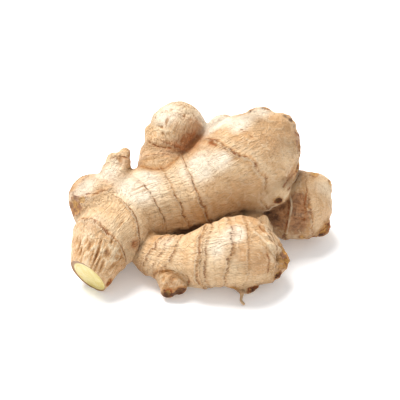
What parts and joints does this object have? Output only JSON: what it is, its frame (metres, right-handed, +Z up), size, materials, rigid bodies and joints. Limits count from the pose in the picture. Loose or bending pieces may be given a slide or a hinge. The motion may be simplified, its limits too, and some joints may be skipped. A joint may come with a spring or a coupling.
{
  "type": "ginger root",
  "caption": "Fresh ginger rhizome with fat ringed fingers, rounded knobs, bud scars and a knife-cut stub, lying on a flat surface.",
  "frame": {"origin": "on the surface that the root lies on, below the middle of its box", "axes": "+X along the root's length, from the cut stub to the branched end; +Z up; -Y towards the front finger"},
  "size_m": [0.1319, 0.0939, 0.0675],
  "materials": {
    "ginger_skin": "thin dry papery skin, satin to matt, with darker rings and scars and a moist pale yellow cut face"
  },
  "bodies": {
    "root": {"ginger_root": "ginger_skin"}
  },
  "joints": []
}
